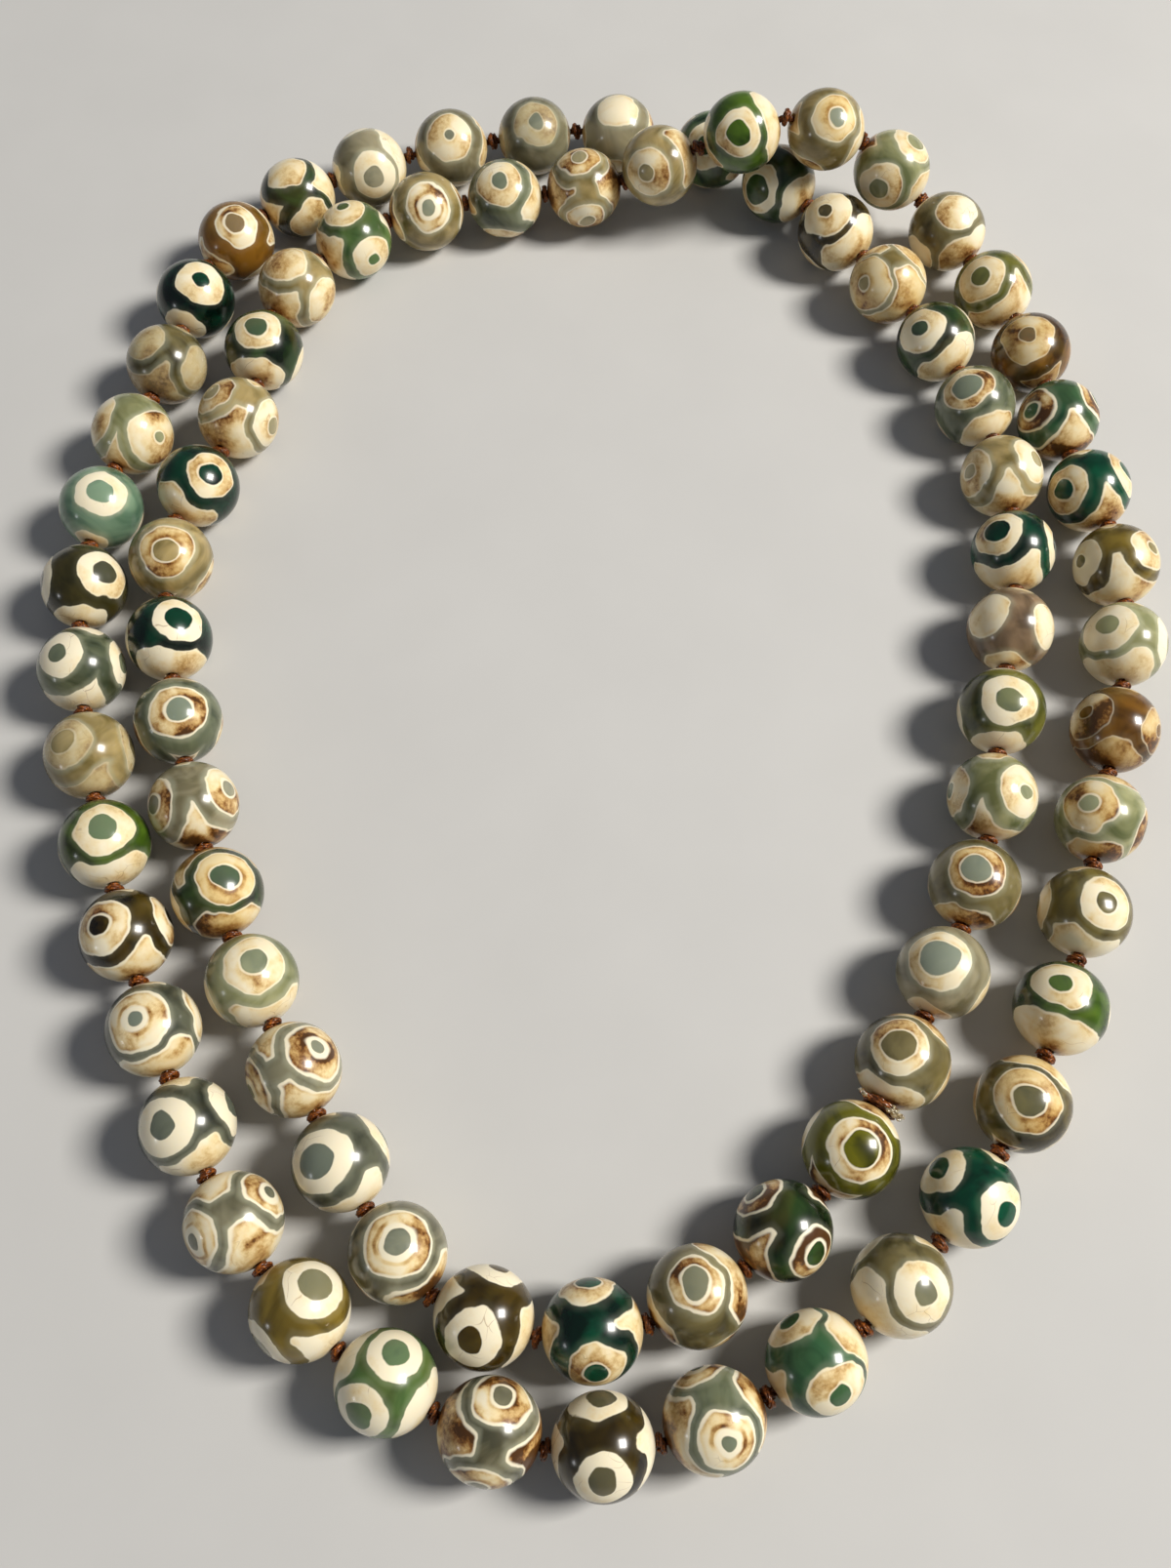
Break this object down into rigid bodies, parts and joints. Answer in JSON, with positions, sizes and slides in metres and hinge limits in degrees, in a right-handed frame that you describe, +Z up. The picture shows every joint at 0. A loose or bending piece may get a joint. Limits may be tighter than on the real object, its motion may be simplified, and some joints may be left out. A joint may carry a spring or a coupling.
{
  "type": "dzi bead necklace",
  "caption": "Closed necklace of round drilled stone beads, hand-knotted on a waxed cord, laid doubled on a table so that its turns cross.",
  "frame": {"origin": "on the table under the middle of the laid necklace, halfway between its outermost beads", "axes": "+Z up from the table, +Y along the laid loops towards the side where the two turns cross, +X to the right"},
  "size_m": [0.1328, 0.1746, 0.019],
  "materials": {
    "bead_stone": "polished translucent green to olive agate with cream three-eye patterns",
    "cord": "waxed red-brown twisted cord, slightly glossy",
    "closing_cord": "tight waxed knot with a pale clear drop of glue"
  },
  "bodies": {
    "root": {"beads_first_turn": "bead_stone", "beads_second_turn": "bead_stone", "knotted_cord": "cord", "closing_knot": "closing_cord"}
  },
  "joints": []
}
